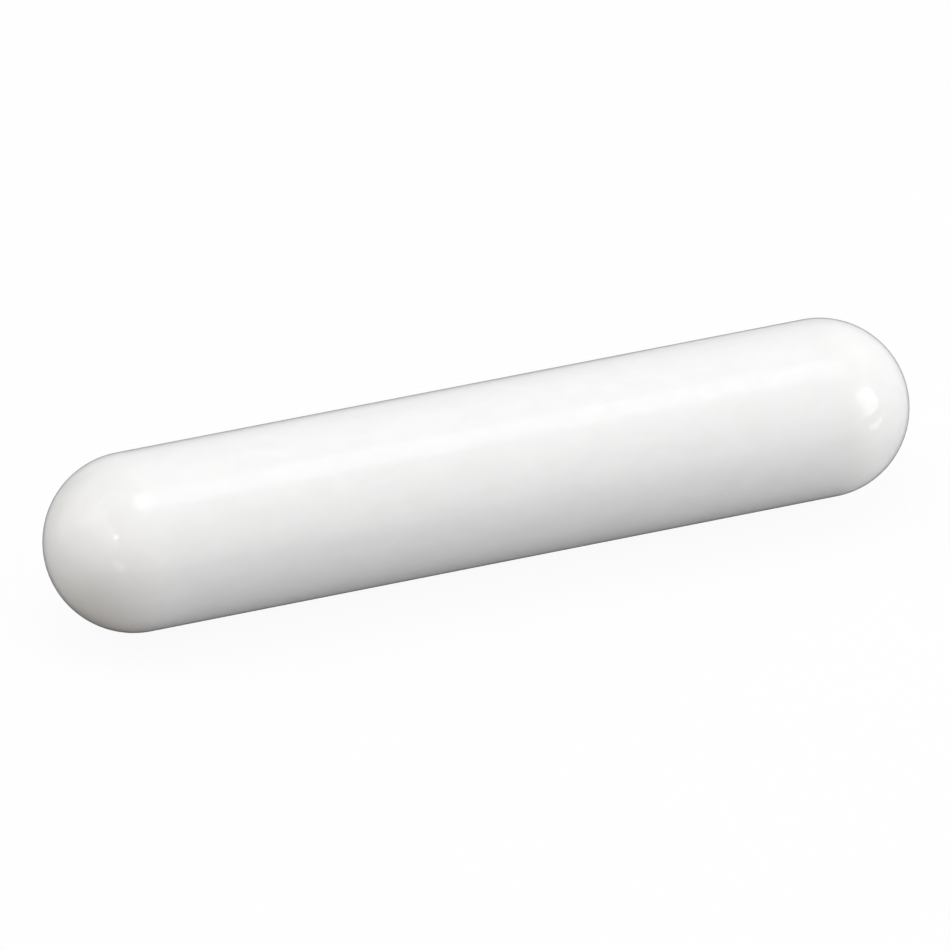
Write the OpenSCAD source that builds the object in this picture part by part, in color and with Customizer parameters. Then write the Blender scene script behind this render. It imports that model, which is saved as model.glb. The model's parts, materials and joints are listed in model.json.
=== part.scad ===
// Magnetic stir bar: a rod magnet sealed inside a round-ended white plastic jacket.
// Millimetres. The bar lies along X with its centre at the origin, and +Z is up.

/* [Bar] */
// Overall length, from the tip of one round end to the tip of the other
bar_length = 40; // [25:0.5:80]
// Diameter of the straight barrel and of the half-ball at each end
bar_diameter = 8; // [5:0.5:12]

/* [Jacket] */
// Wall of the jacket around the side of the magnet
side_wall = 1; // [0.6:0.1:1.5]
// Depth of solid jacket on the axis, from each tip to the magnet's cavity
end_depth = 4; // [3.5:0.1:8]

/* [Magnet] */
// Chamfer around each end face of the magnet, and of the cavity it fills
magnet_chamfer = 0.4; // [0.1:0.05:0.5]
// Clearance between the magnet and the cavity wall, on every side
magnet_clearance = 0.02; // [0.01:0.01:0.1]

/* [Hidden] */
$fn = 96;

ball_radius = bar_diameter / 2;
ball_centre_x = bar_length / 2 - ball_radius;
cavity_diameter = bar_diameter - 2 * side_wall;
cavity_length = bar_length - 2 * end_depth;
magnet_diameter = cavity_diameter - 2 * magnet_clearance;
magnet_length = cavity_length - 2 * magnet_clearance;

// Turns a profile drawn with its radius on X and its height on Y into a solid along X.
module turned_along_x() {
    rotate([0, 90, 0]) rotate_extrude() children();
}

// Half of a round-ended outline: a straight barrel with a quarter circle at each end.
module round_ended_profile() {
    intersection() {
        union() {
            translate([0, -ball_centre_x]) square([ball_radius, 2 * ball_centre_x]);
            for (end = [-1, 1]) translate([0, end * ball_centre_x]) circle(r = ball_radius);
        }
        translate([0, -bar_length / 2]) square([ball_radius, bar_length]);
    }
}

// A straight rod along X with a chamfer around each end face.
module chamfered_rod(length, diameter) {
    radius = diameter / 2;
    half = length / 2;
    turned_along_x() polygon([
        [0, -half],
        [radius - magnet_chamfer, -half],
        [radius, -half + magnet_chamfer],
        [radius, half - magnet_chamfer],
        [radius - magnet_chamfer, half],
        [0, half],
    ]);
}

// The seamless moulded jacket, with the sealed cavity that the magnet fills.
module jacket() {
    color([0.94, 0.94, 0.93])
    difference() {
        turned_along_x() round_ended_profile();
        chamfered_rod(cavity_length, cavity_diameter);
    }
}

// The rod magnet, magnetised along its length.
module bar_magnet() {
    color([0.36, 0.36, 0.38]) chamfered_rod(magnet_length, magnet_diameter);
}

jacket();
bar_magnet();
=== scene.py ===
import json
import math

import bmesh
import bpy
from mathutils import Matrix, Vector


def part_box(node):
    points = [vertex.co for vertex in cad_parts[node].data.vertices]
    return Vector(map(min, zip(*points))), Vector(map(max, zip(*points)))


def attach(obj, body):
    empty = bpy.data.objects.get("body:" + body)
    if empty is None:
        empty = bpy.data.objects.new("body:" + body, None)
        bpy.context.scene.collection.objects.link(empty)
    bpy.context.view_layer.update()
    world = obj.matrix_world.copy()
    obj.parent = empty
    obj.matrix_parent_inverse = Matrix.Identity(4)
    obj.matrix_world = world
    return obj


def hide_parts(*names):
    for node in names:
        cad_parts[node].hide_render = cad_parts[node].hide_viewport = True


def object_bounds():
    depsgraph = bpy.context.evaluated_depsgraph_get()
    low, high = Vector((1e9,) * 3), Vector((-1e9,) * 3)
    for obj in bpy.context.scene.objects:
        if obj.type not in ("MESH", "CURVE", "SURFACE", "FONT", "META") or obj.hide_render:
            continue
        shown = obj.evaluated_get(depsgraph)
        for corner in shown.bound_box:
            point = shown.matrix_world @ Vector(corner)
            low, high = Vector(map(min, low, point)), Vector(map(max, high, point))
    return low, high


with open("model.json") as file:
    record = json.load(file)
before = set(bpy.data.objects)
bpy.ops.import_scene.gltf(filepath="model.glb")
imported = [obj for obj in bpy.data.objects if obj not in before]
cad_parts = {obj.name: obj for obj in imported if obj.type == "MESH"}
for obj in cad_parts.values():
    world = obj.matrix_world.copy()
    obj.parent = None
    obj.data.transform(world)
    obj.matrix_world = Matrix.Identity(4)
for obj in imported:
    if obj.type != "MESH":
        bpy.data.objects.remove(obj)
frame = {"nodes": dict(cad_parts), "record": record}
cad_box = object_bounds()


# ---- Bar magnet ------------------------------------------------------------------------------
# The rod magnet at the heart of the bar: a cast magnet alloy, poured as a rod, ground round on
# its side and chamfered at both ends. No glue holds it, because the jacket is moulded around it
# and grips it on every side.

ALLOY_DARK = (0.17, 0.17, 0.18)
ALLOY_LIGHT = (0.28, 0.28, 0.29)


def cloudy_marks_group():
    """Soft patches with finer marks inside them, as moulding or grinding leaves."""
    group = bpy.data.node_groups.new("cloudy_marks", "ShaderNodeTree")
    sockets = group.interface
    sockets.new_socket("Place", in_out="INPUT", socket_type="NodeSocketVector")
    sockets.new_socket("Patches per metre", in_out="INPUT", socket_type="NodeSocketFloat")
    sockets.new_socket("Marks per metre", in_out="INPUT", socket_type="NodeSocketFloat")
    sockets.new_socket("Patches", in_out="OUTPUT", socket_type="NodeSocketFloat")
    sockets.new_socket("Marks", in_out="OUTPUT", socket_type="NodeSocketFloat")
    nodes, links = group.nodes, group.links
    given = nodes.new("NodeGroupInput")
    result = nodes.new("NodeGroupOutput")

    patches = nodes.new("ShaderNodeTexNoise")
    patches.inputs["Detail"].default_value = 3.0
    patches.inputs["Roughness"].default_value = 0.55
    patches.inputs["Distortion"].default_value = 0.6
    links.new(given.outputs["Place"], patches.inputs["Vector"])
    links.new(given.outputs["Patches per metre"], patches.inputs["Scale"])
    links.new(patches.outputs["Fac"], result.inputs["Patches"])

    marks = nodes.new("ShaderNodeTexNoise")
    marks.inputs["Detail"].default_value = 6.0
    marks.inputs["Roughness"].default_value = 0.62
    links.new(given.outputs["Place"], marks.inputs["Vector"])
    links.new(given.outputs["Marks per metre"], marks.inputs["Scale"])
    links.new(marks.outputs["Fac"], result.inputs["Marks"])
    return group


cloudy_marks = cloudy_marks_group()


def magnet_alloy():
    """Dark grey ground alloy: fine grinding rings round the rod over a mottled cast grain."""
    material = bpy.data.materials.new("magnet_alloy")
    material.use_nodes = True
    nodes, links = material.node_tree.nodes, material.node_tree.links
    surface = nodes["Principled BSDF"]
    surface.inputs["Metallic"].default_value = 0.9
    place = nodes.new("ShaderNodeTexCoord")
    around = nodes.new("ShaderNodeMapping")
    around.inputs["Scale"].default_value = (1.0, 0.12, 0.12)
    links.new(place.outputs["Object"], around.inputs["Vector"])
    grain = nodes.new("ShaderNodeGroup")
    grain.node_tree = cloudy_marks
    grain.inputs["Patches per metre"].default_value = 900.0
    grain.inputs["Marks per metre"].default_value = 14000.0
    links.new(around.outputs["Vector"], grain.inputs["Place"])

    colour = nodes.new("ShaderNodeMix")
    colour.data_type = "RGBA"
    colour.inputs["A"].default_value = (*ALLOY_DARK, 1.0)
    colour.inputs["B"].default_value = (*ALLOY_LIGHT, 1.0)
    links.new(grain.outputs["Patches"], colour.inputs["Factor"])
    links.new(colour.outputs["Result"], surface.inputs["Base Color"])
    polish = nodes.new("ShaderNodeMapRange")
    polish.inputs["To Min"].default_value = 0.3
    polish.inputs["To Max"].default_value = 0.55
    links.new(grain.outputs["Marks"], polish.inputs["Value"])
    links.new(polish.outputs["Result"], surface.inputs["Roughness"])
    rings = nodes.new("ShaderNodeBump")
    rings.inputs["Strength"].default_value = 0.6
    rings.inputs["Distance"].default_value = 0.00002
    links.new(grain.outputs["Marks"], rings.inputs["Height"])
    links.new(rings.outputs["Normal"], surface.inputs["Normal"])
    return material


bar_magnet = frame["nodes"]["bar_magnet"]
bar_magnet.data.materials.clear()
bar_magnet.data.materials.append(magnet_alloy())


# ---- Jacket ----------------------------------------------------------------------------------
# The white jacket: one seamless skin of fluoropolymer, pressed from powder and moulded hot around
# the magnet, with a straight barrel and a half-ball at each end. It is polished to a waxy gloss,
# very slightly cloudy and never quite flat.

JACKET_SIDES = 256
END_ARC_STEPS = 48
BARREL_CUTS = 47
WELD_DISTANCE = 0.00000004
MAGNET_CLEARANCE = 0.00002
CAVITY_SIDES = 96
CAVITY_CHAMFER = 0.0004
CLOUDY_WHITE = (0.908, 0.908, 0.907)
CLEAR_WHITE = (0.945, 0.945, 0.944)
END_TINT = (0.998, 0.995, 0.990)
END_FADE = 0.0016
barrel = next(mount for mount in frame["record"]["mounts"] if mount["name"] == "barrel")
ball_radius = barrel["dims"]["r_mm"] / 1000
ball_centre_x = barrel["dims"]["length_mm"] / 2000
magnet_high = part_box("bar_magnet")[1]
cavity_radius = magnet_high.z + MAGNET_CLEARANCE
cavity_length = 2 * (magnet_high.x + MAGNET_CLEARANCE)


def jacket_outside(shell):
    """The outer skin: half an outline from tip to tip, spun round the bar's axis."""
    tip = shell.verts.new((ball_centre_x + ball_radius, 0, 0))
    arc = bmesh.ops.spin(shell, geom=[tip], cent=(ball_centre_x, 0, 0), axis=(0, -1, 0),
                         angle=math.pi / 2, steps=END_ARC_STEPS)
    shoulder = next(part for part in arc["geom_last"] if isinstance(part, bmesh.types.BMVert))
    side = bmesh.ops.extrude_vert_indiv(shell, verts=[shoulder])
    bmesh.ops.translate(shell, verts=side["verts"], vec=(-2 * ball_centre_x, 0, 0))
    bmesh.ops.subdivide_edges(shell, edges=side["edges"], cuts=BARREL_CUTS)
    far_shoulder = min(shell.verts, key=lambda vertex: vertex.co.x)
    bmesh.ops.spin(shell, geom=[far_shoulder], cent=(-ball_centre_x, 0, 0), axis=(0, -1, 0),
                   angle=math.pi / 2, steps=END_ARC_STEPS)
    bmesh.ops.spin(shell, geom=shell.verts[:] + shell.edges[:], cent=(0, 0, 0), axis=(1, 0, 0),
                   angle=2 * math.pi, steps=JACKET_SIDES, use_merge=True)
    bmesh.ops.remove_doubles(shell, verts=shell.verts[:], dist=WELD_DISTANCE)
    bmesh.ops.recalc_face_normals(shell, faces=shell.faces[:])
    for face in shell.faces:
        face.smooth = True


def jacket_cavity(shell):
    """The sealed cavity that the magnet fills: a chamfered rod, with its faces turned into it."""
    skin = set(shell.faces)
    rod = bmesh.ops.create_cone(shell, cap_ends=True, segments=CAVITY_SIDES, radius1=cavity_radius,
                                radius2=cavity_radius, depth=cavity_length,
                                matrix=Matrix.Rotation(math.pi / 2, 4, "Y"))
    rims = [edge for vertex in rod["verts"] for edge in vertex.link_edges
            if edge.verts[0].co.x * edge.verts[1].co.x > 0]
    bmesh.ops.bevel(shell, geom=list(set(rims)), offset=CAVITY_CHAMFER, affect="EDGES",
                    segments=1, profile=0.5, material=-1)
    wall = [face for face in shell.faces if face not in skin]
    bmesh.ops.recalc_face_normals(shell, faces=wall)
    bmesh.ops.reverse_faces(shell, faces=wall)


def white_plastic():
    """Waxy white plastic, cloudy in patches as wide as the wall is thick, warmer past the magnet."""
    material = bpy.data.materials.new("jacket_plastic")
    material.use_nodes = True
    nodes, links = material.node_tree.nodes, material.node_tree.links
    surface = nodes["Principled BSDF"]
    surface.inputs["IOR"].default_value = 1.35
    surface.inputs["Subsurface Weight"].default_value = 0.5
    surface.inputs["Subsurface Radius"].default_value = (1.0, 1.0, 1.0)
    surface.inputs["Subsurface Scale"].default_value = 0.0003
    place = nodes.new("ShaderNodeTexCoord")
    along = nodes.new("ShaderNodeMapping")
    along.inputs["Scale"].default_value = (0.62, 1.0, 1.0)
    links.new(place.outputs["Object"], along.inputs["Vector"])
    cloud = nodes.new("ShaderNodeGroup")
    cloud.node_tree = cloudy_marks
    cloud.inputs["Patches per metre"].default_value = 750.0
    cloud.inputs["Marks per metre"].default_value = 4200.0
    links.new(along.outputs["Vector"], cloud.inputs["Place"])

    depth = nodes.new("ShaderNodeMapRange")
    depth.inputs["From Min"].default_value = 0.3
    depth.inputs["From Max"].default_value = 0.7
    links.new(cloud.outputs["Patches"], depth.inputs["Value"])
    cloudy = nodes.new("ShaderNodeMix")
    cloudy.data_type = "RGBA"
    cloudy.inputs["A"].default_value = (*CLOUDY_WHITE, 1.0)
    cloudy.inputs["B"].default_value = (*CLEAR_WHITE, 1.0)
    links.new(depth.outputs["Result"], cloudy.inputs["Factor"])
    parts = nodes.new("ShaderNodeSeparateXYZ")
    links.new(place.outputs["Object"], parts.inputs["Vector"])
    from_middle = nodes.new("ShaderNodeMath")
    from_middle.operation = "ABSOLUTE"
    links.new(parts.outputs["X"], from_middle.inputs[0])
    past_magnet = nodes.new("ShaderNodeMapRange")
    past_magnet.interpolation_type = "SMOOTHSTEP"
    past_magnet.inputs["From Min"].default_value = magnet_high.x - END_FADE / 2
    past_magnet.inputs["From Max"].default_value = magnet_high.x + END_FADE / 2
    links.new(from_middle.outputs["Value"], past_magnet.inputs["Value"])
    colour = nodes.new("ShaderNodeMix")
    colour.data_type = "RGBA"
    colour.blend_type = "MULTIPLY"
    colour.inputs["B"].default_value = (*END_TINT, 1.0)
    links.new(past_magnet.outputs["Result"], colour.inputs["Factor"])
    links.new(cloudy.outputs["Result"], colour.inputs["A"])
    links.new(colour.outputs["Result"], surface.inputs["Base Color"])

    polish = nodes.new("ShaderNodeMapRange")
    polish.inputs["From Min"].default_value = 0.3
    polish.inputs["From Max"].default_value = 0.7
    polish.inputs["To Min"].default_value = 0.03
    polish.inputs["To Max"].default_value = 0.06
    links.new(cloud.outputs["Marks"], polish.inputs["Value"])
    links.new(polish.outputs["Result"], surface.inputs["Roughness"])

    waves = nodes.new("ShaderNodeBump")
    waves.inputs["Strength"].default_value = 0.5
    waves.inputs["Distance"].default_value = 0.000003
    links.new(cloud.outputs["Patches"], waves.inputs["Height"])
    marks = nodes.new("ShaderNodeBump")
    marks.inputs["Strength"].default_value = 0.5
    marks.inputs["Distance"].default_value = 0.0000004
    links.new(cloud.outputs["Marks"], marks.inputs["Height"])
    links.new(waves.outputs["Normal"], marks.inputs["Normal"])
    links.new(marks.outputs["Normal"], surface.inputs["Normal"])
    return material


shell = bmesh.new()
jacket_outside(shell)
jacket_cavity(shell)
skin_mesh = bpy.data.meshes.new("jacket_skin")
shell.to_mesh(skin_mesh)
shell.free()
jacket_skin = bpy.data.objects.new("jacket_skin", skin_mesh)
bpy.context.scene.collection.objects.link(jacket_skin)
skin_mesh.materials.append(white_plastic())
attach(jacket_skin, "root")
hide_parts("jacket")


# ---- Table top ---------------------------------------------------------------------------------
# A white table top just under the bar, which keeps the bar's soft shadow. It is white to the
# camera and in the bar's gloss, and it throws back as much light as a plain grey top, so that the
# underside of the bar stays dark.

WHITE = 0.993
SHADOW_DEPTH = 0.06
TABLE_GREY = 0.21
TABLE_RADIUS = 0.5
TABLE_GAP = 0.00005
DISC_SIDES = 96
BACKGROUND_RAYS = ("Is Camera Ray", "Is Glossy Ray", "Is Transmission Ray")
floor_level = cad_box[0][2] - TABLE_GAP


def background_ray(nodes, links):
    """1 for a ray that shows the background: straight to the camera, or by way of gloss or glass."""
    path = nodes.new("ShaderNodeLightPath")
    total = path.outputs[BACKGROUND_RAYS[0]]
    for name in BACKGROUND_RAYS[1:]:
        add = nodes.new("ShaderNodeMath")
        add.use_clamp = True
        links.new(total, add.inputs[0])
        links.new(path.outputs[name], add.inputs[1])
        total = add.outputs["Value"]
    return total


def one_sided(nodes, links, shader):
    """Sends the shader to the output, clear when seen from the back."""
    side = nodes.new("ShaderNodeNewGeometry")
    clear = nodes.new("ShaderNodeBsdfTransparent")
    both = nodes.new("ShaderNodeMixShader")
    links.new(side.outputs["Backfacing"], both.inputs["Fac"])
    links.new(shader, both.inputs[1])
    links.new(clear.outputs["BSDF"], both.inputs[2])
    links.new(both.outputs["Shader"], nodes["Material Output"].inputs["Surface"])


def table_white():
    """White to the camera with a faint shadow, and a plain grey in the light it gives back."""
    material = bpy.data.materials.new("table_white")
    material.use_nodes = True
    nodes, links = material.node_tree.nodes, material.node_tree.links
    nodes.remove(nodes["Principled BSDF"])
    shadowed = nodes.new("ShaderNodeBsdfDiffuse")
    shadowed.inputs["Color"].default_value = (SHADOW_DEPTH, SHADOW_DEPTH, SHADOW_DEPTH, 1.0)
    lit = nodes.new("ShaderNodeEmission")
    lit.inputs["Strength"].default_value = WHITE - SHADOW_DEPTH
    seen = nodes.new("ShaderNodeAddShader")
    links.new(shadowed.outputs["BSDF"], seen.inputs[0])
    links.new(lit.outputs["Emission"], seen.inputs[1])
    bounce = nodes.new("ShaderNodeBsdfDiffuse")
    bounce.inputs["Color"].default_value = (TABLE_GREY, TABLE_GREY, TABLE_GREY, 1.0)
    top = nodes.new("ShaderNodeMixShader")
    links.new(background_ray(nodes, links), top.inputs["Fac"])
    links.new(bounce.outputs["BSDF"], top.inputs[1])
    links.new(seen.outputs["Shader"], top.inputs[2])
    one_sided(nodes, links, top.outputs["Shader"])
    return material


def flat_disc(radius, level):
    """A round sheet, lying face up."""
    disc = bmesh.new()
    bmesh.ops.create_circle(disc, cap_ends=True, segments=DISC_SIDES, radius=radius,
                            matrix=Matrix.Translation((0, 0, level)))
    return disc


def stage_object(name, mesh, material):
    """A part of the stage, which isn't part of the bar."""
    piece_mesh = bpy.data.meshes.new(name)
    mesh.to_mesh(piece_mesh)
    mesh.free()
    piece_mesh.materials.append(material)
    piece = bpy.data.objects.new(name, piece_mesh)
    bpy.context.scene.collection.objects.link(piece)
    return piece


stage_object("table_top", flat_disc(TABLE_RADIUS, floor_level), table_white())


# ---- Cards on the table --------------------------------------------------------------------------
# Matt cards laid in layers on the table, which paint the light and shade of the table that the bar's
# gloss shows: grey tones round the bar, lighter past its ends and along its foot, and on top a dark
# painted shadow, cut to the bar's shadow. They show only in the bar's own gloss, the grey ones also
# throw their light back on it, and the painted shadow draws the edge of a white thing on a white
# ground.

CARD_RADIUS = 0.06
CARD_LAYER = 0.00001
# The card colours are painted light and shade: tones of the table as the bar's gloss shows it, lighter
# past the ends and along the foot.
FLOOR_CARD_COLOUR = (0.19, 0.19, 0.20)
STRAIGHT_CARDS = (
    ("card_back_left", (0.32, 0.32, 0.32),
     ((-0.016, 0.0), (-0.010, 0.020), (-0.010, 0.058), (-0.036, 0.047), (-0.036, 0.002))),
    ("card_front_left", (0.15, 0.13, 0.11),
     ((-0.0145, -0.0019), (-0.020, -0.0005), (-0.036, -0.001), (-0.036, -0.024))),
    ("card_front", (0.23, 0.23, 0.24),
     ((-0.0145, -0.0019), (-0.0345, -0.0225), (-0.018, -0.028), (-0.013, -0.012))),
    ("card_foot", (0.30, 0.30, 0.31),
     ((-0.0145, -0.0019), (-0.0145, -0.0028), (0.016, -0.0028), (0.016, -0.0019))),
)
END_CARDS = (
    ("card_far_left", (0.57, 0.57, 0.57), -0.039),
    ("card_right", (0.47, 0.47, 0.47), 0.0165),
)
# The shadow card is a painted shadow: a dark blue sheet cut to the shape of the bar's shadow on the
# table.
SHADOW_COLOUR = (0.015, 0.03, 0.08)
SHADOW_ENDS = (-0.0132, 0.0222)
SHADOW_BACK = 0.0118
SHADOW_SIZE = (0.0072, 0.0138)
SHADOW_LEAN = 0.0036
SHADOW_ARC_STEP = 10
card_level = floor_level + 2 * CARD_LAYER
shadow_level = floor_level + 4 * CARD_LAYER


def matt_card(name, colour):
    """Matt card of one plain colour, which doesn't show from the back."""
    material = bpy.data.materials.new(name)
    material.use_nodes = True
    nodes, links = material.node_tree.nodes, material.node_tree.links
    nodes.remove(nodes["Principled BSDF"])
    card = nodes.new("ShaderNodeBsdfDiffuse")
    card.inputs["Color"].default_value = (*colour, 1.0)
    one_sided(nodes, links, card.outputs["BSDF"])
    return material


def gloss_card(name, mesh, material):
    """A part of the stage that only the bar's gloss shows."""
    card = stage_object(name, mesh, material)
    card.visible_camera = False
    card.visible_diffuse = False
    card.visible_transmission = False
    card.visible_shadow = False
    return card


def laid_card(name, colour, card):
    """A card laid face up on the table, which also throws its own light back on the bar."""
    card.normal_update()
    facing_down = [face for face in card.faces if face.normal.z < 0]
    bmesh.ops.reverse_faces(card, faces=facing_down)
    gloss_card(name, card, matt_card(name, colour)).visible_diffuse = True


def shadow_arc(end, first_angle):
    """Half of a leaning ellipse, round one end of the painted shadow card."""
    arc = []
    for degrees in range(first_angle, first_angle + 181, SHADOW_ARC_STEP):
        angle = math.radians(degrees)
        arc.append((end + SHADOW_SIZE[0] * math.cos(angle) + SHADOW_LEAN * math.sin(angle),
                    SHADOW_BACK + SHADOW_SIZE[1] * math.sin(angle), shadow_level))
    return arc


# Painted light and shade of the table in the gloss: a grey floor card, then lighter and darker cards
# near the bar and past its ends.
laid_card("floor_card", FLOOR_CARD_COLOUR, flat_disc(CARD_RADIUS, floor_level + CARD_LAYER))

for card_name, card_colour, card_corners in STRAIGHT_CARDS:
    straight_card = bmesh.new()
    straight_card.faces.new([straight_card.verts.new((*corner, card_level)) for corner in card_corners])
    laid_card(card_name, card_colour, straight_card)

for card_name, card_colour, cut_edge in END_CARDS:
    end_card = flat_disc(CARD_RADIUS, card_level)
    bmesh.ops.bisect_plane(end_card, geom=end_card.verts[:] + end_card.edges[:] + end_card.faces[:],
                           plane_co=(cut_edge, 0, 0), plane_no=(math.copysign(1, cut_edge), 0, 0),
                           clear_inner=True)
    laid_card(card_name, card_colour, end_card)

# A painted shadow: a dark blue sheet cut to the bar's shadow, which only the gloss shows, so that the
# bar's edge looks dark.
shadow_card = bmesh.new()
shadow_outline = shadow_arc(SHADOW_ENDS[1], -90) + shadow_arc(SHADOW_ENDS[0], 90)
shadow_card.faces.new([shadow_card.verts.new(corner) for corner in shadow_outline])
gloss_card("shadow_card", shadow_card, matt_card("shadow_card", SHADOW_COLOUR))


# ---- Cards round the back ------------------------------------------------------------------------
# Two cards that stand on the table: a pale one bent round the back of the bar, with an arched top
# edge, which glows by itself as painted light, dimmer at its foot and brighter at its top, and a small
# dark one inside it at the left. They too show only in the bar's gloss.

WALL_TOP = ((45, 0.009), (72, 0.009), (75, 0.031), (111, 0.031), (140, 0.059), (165, 0.078),
            (200, 0.072), (215, 0.063), (235, 0.030))
# WALL_SHADES are the strengths of the wall card's painted glow, at its foot and at its top.
WALL_SHADES = (0.45, 0.8)
WALL_FADE = 0.05
DARK_CARD_COLOUR = (0.03, 0.03, 0.03)
DARK_CARD_FOOT = ((-0.0466, 0.0291), (-0.0232, 0.0498))
DARK_CARD_TOP = 0.020


def wall_card_painted_glow():
    """Card for the wall that glows by itself, a painted light: dimmer at its foot, brighter at its top.
    """
    material = bpy.data.materials.new("wall_card_painted_glow")
    material.use_nodes = True
    nodes, links = material.node_tree.nodes, material.node_tree.links
    nodes.remove(nodes["Principled BSDF"])
    place = nodes.new("ShaderNodeTexCoord")
    parts = nodes.new("ShaderNodeSeparateXYZ")
    links.new(place.outputs["Object"], parts.inputs["Vector"])
    height = nodes.new("ShaderNodeMapRange")
    height.inputs["From Min"].default_value = floor_level
    height.inputs["From Max"].default_value = floor_level + WALL_FADE
    height.inputs["To Min"].default_value = WALL_SHADES[0]
    height.inputs["To Max"].default_value = WALL_SHADES[1]
    links.new(parts.outputs["Z"], height.inputs["Value"])
    card = nodes.new("ShaderNodeEmission")
    links.new(height.outputs["Result"], card.inputs["Strength"])
    links.new(card.outputs["Emission"], nodes["Material Output"].inputs["Surface"])
    return material


def wall_height(azimuth):
    """Height of the wall card's arched top edge, between the heights given in WALL_TOP."""
    for (start, low), (end, high) in zip(WALL_TOP, WALL_TOP[1:]):
        if azimuth < end:
            return low + (high - low) * (azimuth - start) / (end - start)
    return WALL_TOP[-1][1]


wall_card = bmesh.new()
foot = wall_card.verts.new((0, -CARD_RADIUS, floor_level))
head = wall_card.verts.new((0, -CARD_RADIUS, floor_level + WALL_FADE))
wall_card.edges.new((foot, head))
wall_start = WALL_TOP[0][0]
wall_sweep = WALL_TOP[-1][0] - wall_start
bmesh.ops.rotate(wall_card, verts=wall_card.verts[:], cent=(0, 0, 0),
                 matrix=Matrix.Rotation(math.radians(wall_start), 3, "Z"))
bmesh.ops.spin(wall_card, geom=wall_card.verts[:] + wall_card.edges[:], cent=(0, 0, 0),
               axis=(0, 0, 1), angle=math.radians(wall_sweep), steps=wall_sweep)
for vertex in wall_card.verts:
    if vertex.co.z > floor_level + WALL_FADE / 2:
        vertex_azimuth = math.degrees(math.atan2(vertex.co.x, -vertex.co.y)) % 360
        vertex.co.z = floor_level + wall_height(vertex_azimuth)
# The wall card's glow is painted light, dimmer at its foot.
gloss_card("wall_card", wall_card, wall_card_painted_glow())

dark_card = bmesh.new()
near_foot, far_foot = DARK_CARD_FOOT
dark_card.faces.new([dark_card.verts.new(corner)
                     for corner in ((*near_foot, floor_level), (*far_foot, floor_level),
                                    (*far_foot, DARK_CARD_TOP), (*near_foot, DARK_CARD_TOP))])
gloss_card("card_left_back", dark_card, matt_card("card_left_back", DARK_CARD_COLOUR))


# ---- Room and lamps ------------------------------------------------------------------------------
# A white room, and eight wide soft lamps half a metre from the bar. They light it evenly, a little
# more from above and from its right end, and don't show in its gloss.

ROOM_LIGHT = 0.3
LAMP_SIZE = 0.3
LAMP_DISTANCE = 0.5
PLAIN_LIGHT = (1.0, 1.0, 1.0)


def studio_room():
    """A room white to the eye, which gives the bar an even light of its own strength."""
    world = bpy.data.worlds.new("studio_room")
    bpy.context.scene.world = world
    world.use_nodes = True
    nodes, links = world.node_tree.nodes, world.node_tree.links
    light = nodes["Background"]
    light.inputs["Color"].default_value = (*PLAIN_LIGHT, 1.0)
    light.inputs["Strength"].default_value = ROOM_LIGHT
    white = nodes.new("ShaderNodeBackground")
    white.inputs["Color"].default_value = (*PLAIN_LIGHT, 1.0)
    white.inputs["Strength"].default_value = WHITE
    room = nodes.new("ShaderNodeMixShader")
    links.new(background_ray(nodes, links), room.inputs["Fac"])
    links.new(light.outputs["Background"], room.inputs[1])
    links.new(white.outputs["Background"], room.inputs[2])
    links.new(room.outputs["Shader"], nodes["World Output"].inputs["Surface"])


def round_the_bar(azimuth, elevation, distance, sideways=0.0, upward=0.0):
    """A place facing the bar. Azimuth 0 is in front of it, 90 off its +X end and 180 behind."""
    turn = Matrix.Rotation(math.radians(azimuth), 4, "Z")
    tilt = Matrix.Rotation(math.radians(90 - elevation), 4, "X")
    return turn @ tilt @ Matrix.Translation((sideways, upward, distance))


def fill_lamp(name, azimuth, elevation, brightness, colour=PLAIN_LIGHT):
    """A wide lamp that lights the bar. Its brightness is what its face shows, where white is 1."""
    data = bpy.data.lights.new(name, "AREA")
    data.shape = "SQUARE"
    data.size = LAMP_SIZE
    data.energy = brightness * math.pi * LAMP_SIZE ** 2
    data.color = colour
    lamp = bpy.data.objects.new(name, data)
    lamp.matrix_world = round_the_bar(azimuth, elevation, LAMP_DISTANCE)
    lamp.visible_glossy = False
    bpy.context.scene.collection.objects.link(lamp)


studio_room()
fill_lamp("fill_top", 0, 90, 3.0)
fill_lamp("fill_front", 0, 5, 1.24)
fill_lamp("fill_front_left", -45, 5, 2.25, (1.0, 0.96, 0.88))
fill_lamp("fill_front_right", 45, 5, 2.72, (0.97, 0.975, 1.0))
fill_lamp("fill_high_right", 60, 40, 1.30)
fill_lamp("fill_right", 90, 5, 3.02, (1.0, 0.985, 0.975))
fill_lamp("fill_back_right", 135, 5, 2.09)
fill_lamp("fill_back_left", -120, 40, 2.71)


# ---- Panels in the gloss -------------------------------------------------------------------------
# Bright panels that show only in the bar's gloss. Two overhead draw the long band and the spot at
# its left end. A round-edged window, a slip and a faint high panel show on the right end, and two
# tall panels, a low lamp and a glint on the left.

COOL_LIGHT = (0.95, 0.965, 1.0)
WARM_LIGHT = (1.0, 0.965, 0.92)
LAMP_SIDES = 48
WINDOW_CORNERS = ((-0.092, -0.092), (0.094, -0.085), (0.100, 0.115), (-0.088, 0.118))
WINDOW_ROUNDINGS = (0.060, 0.110)
ROUNDING_STEPS = 8
GLINT_CORNERS = ((0.0311, 0.0290), (-0.0251, 0.0176), (-0.0059, -0.0378))
SLIP_CORNERS = ((0.0490, -0.0165, -0.0007), (0.0455, -0.0225, -0.0020), (0.0405, -0.0280, -0.0010),
                (0.0330, -0.0200, -0.0028), (0.0315, -0.0135, -0.0036))


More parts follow.
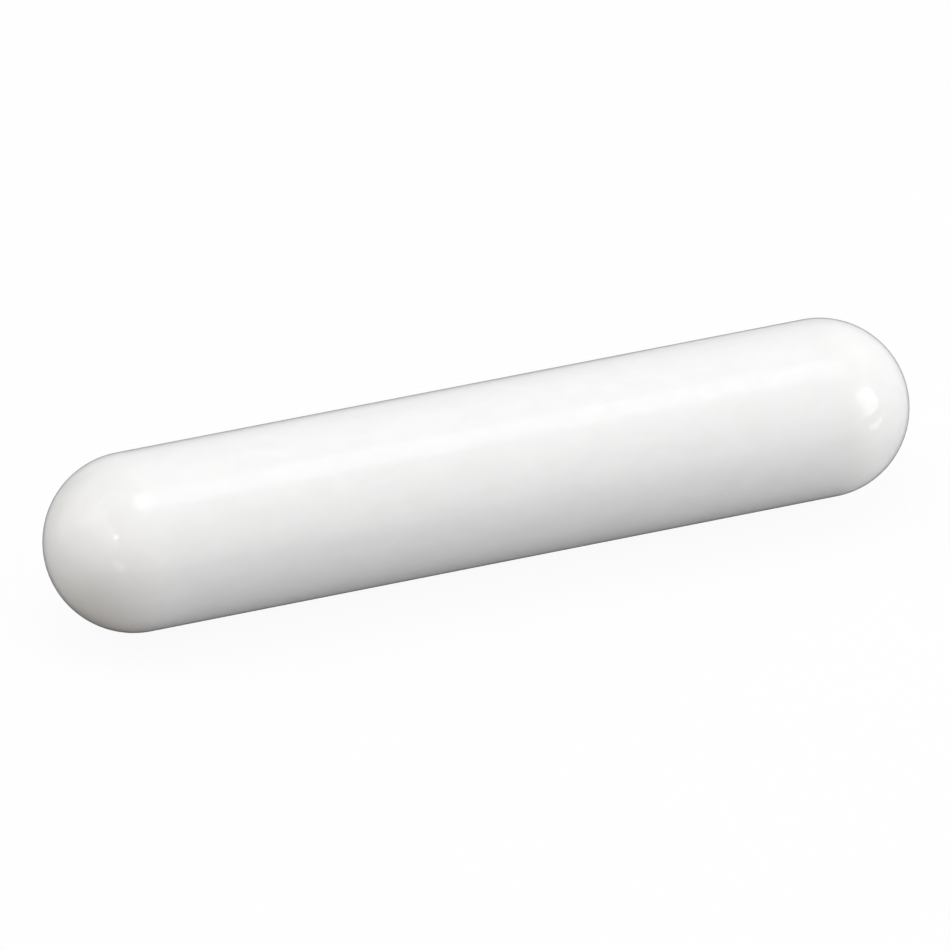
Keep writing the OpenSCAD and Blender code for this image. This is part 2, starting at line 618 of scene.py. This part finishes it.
def glowing(name, brightness, colour=PLAIN_LIGHT, clear=False):
    """Even light of one colour. Where it is clear, it adds to the light of what is behind it."""
    material = bpy.data.materials.new(name)
    material.use_nodes = True
    material.cycles.emission_sampling = "NONE"
    nodes, links = material.node_tree.nodes, material.node_tree.links
    nodes.remove(nodes["Principled BSDF"])
    light = nodes.new("ShaderNodeEmission")
    light.inputs["Color"].default_value = (*colour, 1.0)
    light.inputs["Strength"].default_value = brightness
    shown = light.outputs["Emission"]
    if clear:
        behind = nodes.new("ShaderNodeBsdfTransparent")
        both = nodes.new("ShaderNodeAddShader")
        links.new(light.outputs["Emission"], both.inputs[0])
        links.new(behind.outputs["BSDF"], both.inputs[1])
        shown = both.outputs["Shader"]
    links.new(shown, nodes["Material Output"].inputs["Surface"])
    return material


def flat_sheet(sides, radius):
    """A sheet with equal sides, of which one is at its foot."""
    sheet = bmesh.new()
    bmesh.ops.create_circle(sheet, cap_ends=True, segments=sides, radius=radius,
                            matrix=Matrix.Rotation(math.pi / sides, 4, "Z"))
    return sheet


def square_sheet():
    """A square sheet, 1 m along each side."""
    return flat_sheet(4, math.sqrt(0.5))


def round_sheet():
    """A round sheet, 1 m across."""
    return flat_sheet(LAMP_SIDES, 0.5)


def gloss_panel(name, sheet, place, width, height, brightness, colour=PLAIN_LIGHT):
    """A bright panel cut to size from a sheet."""
    bmesh.ops.scale(sheet, verts=sheet.verts[:], vec=(width, height, 1.0))
    bmesh.ops.transform(sheet, verts=sheet.verts[:], matrix=place)
    gloss_card(name, sheet, glowing(name, brightness, colour, clear=True))


gloss_panel("panel_overhead", square_sheet(), round_the_bar(0, 84.5, 0.5, sideways=0.176),
            0.232, 0.222, 1.80, COOL_LIGHT)
gloss_panel("panel_right_high", square_sheet(), round_the_bar(100, 37, 0.45), 0.33, 0.11, 0.5)
gloss_panel("panel_left", square_sheet(),
            round_the_bar(-97, 0, 0.5, sideways=0.215, upward=0.43), 0.90, 0.56, 0.45, WARM_LIGHT)
gloss_panel("panel_left_high", square_sheet(),
            round_the_bar(-97, 0, 0.5, sideways=0.215, upward=0.5), 0.90, 0.42, 1.25, WARM_LIGHT)
gloss_panel("lamp_overhead", round_sheet(), round_the_bar(0, 83.7, 0.382, sideways=0.027),
            0.100, 0.134, 4.0)
gloss_panel("lamp_left_low", round_sheet(), round_the_bar(-38.1, 1.9, 0.43), 0.110, 0.105, 3.2)

window = bmesh.new()
window_corners = [window.verts.new((*corner, 0)) for corner in WINDOW_CORNERS]
window.faces.new(window_corners)
for right_corner, rounding in zip(window_corners[1:3], WINDOW_ROUNDINGS):
    bmesh.ops.bevel(window, geom=[right_corner], offset=rounding, affect="VERTICES",
                    segments=ROUNDING_STEPS, profile=0.5, material=-1)
bmesh.ops.transform(window, verts=window.verts[:], matrix=round_the_bar(55.5, 18.7, 0.4))
gloss_card("window_right", window, glowing("window_glow", 4.8))

glint = bmesh.new()
glint.faces.new([glint.verts.new((*corner, 0)) for corner in GLINT_CORNERS])
bmesh.ops.transform(glint, verts=glint.verts[:], matrix=round_the_bar(-47.6, 36.3, 0.391))
gloss_card("glint_left", glint, glowing("glint_glow", 9.0))

slip = bmesh.new()
slip.faces.new([slip.verts.new(corner) for corner in SLIP_CORNERS])
gloss_card("slip_right", slip, glowing("slip_glow", 4.0))


# ---- Camera ----------------------------------------------------------------------------------------
# A very long lens, well back from the bar and above it, off the corner of its left end.

CAMERA_AZIMUTH = -18.92
CAMERA_ELEVATION = 34.78
CAMERA_DISTANCE = 0.76227
LENS = 654.45
SENSOR_WIDTH = 36.0
CLIP_END = 10.0
AIM_LEFT = 0.000149
AIM_DOWN = 0.000022

camera_data = bpy.data.cameras.new("camera")
camera_data.lens = LENS
camera_data.sensor_width = SENSOR_WIDTH
camera_data.clip_end = CLIP_END
camera = bpy.data.objects.new("camera", camera_data)
turn = Matrix.Rotation(math.radians(CAMERA_AZIMUTH), 4, "Z")
tilt = Matrix.Rotation(math.radians(90 - CAMERA_ELEVATION), 4, "X")
camera.matrix_world = turn @ tilt @ Matrix.Translation((-AIM_LEFT, -AIM_DOWN, CAMERA_DISTANCE))
bpy.context.scene.collection.objects.link(camera)
bpy.context.scene.camera = camera
bpy.context.scene.view_settings.view_transform = "Standard"
